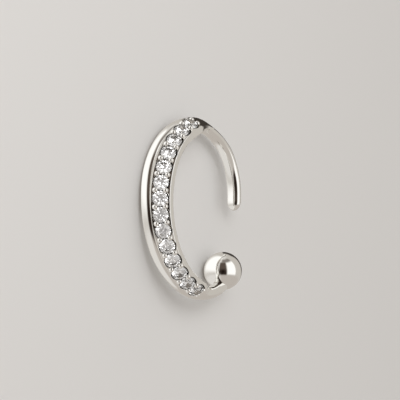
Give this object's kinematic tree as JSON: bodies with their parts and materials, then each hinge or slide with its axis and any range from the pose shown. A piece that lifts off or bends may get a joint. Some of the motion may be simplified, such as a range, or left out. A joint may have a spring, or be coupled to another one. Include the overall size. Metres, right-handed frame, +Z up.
{
  "type": "ear cuff",
  "caption": "Open oval ear cuff of polished silver wire with a rail and a bead-set row of round clear stones along its front, a plain tip and a soldered ball.",
  "frame": {"origin": "centre of the bounding box's base, on the surface that the cuff lies on", "axes": "+Z up, close to the axis of the oval; the stone row faces -Y, and the ball is on the +X side"},
  "size_m": [0.0132, 0.011, 0.0029],
  "materials": {
    "silver": "high polish",
    "stone": "faceted and polished"
  },
  "bodies": {
    "root": {"cuff_body": "silver", "stone_01": "stone", "stone_02": "stone", "stone_03": "stone", "stone_04": "stone", "stone_05": "stone", "stone_06": "stone", "stone_07": "stone", "stone_08": "stone", "stone_09": "stone", "stone_10": "stone", "stone_11": "stone", "stone_12": "stone", "stone_13": "stone", "stone_14": "stone"}
  },
  "joints": []
}
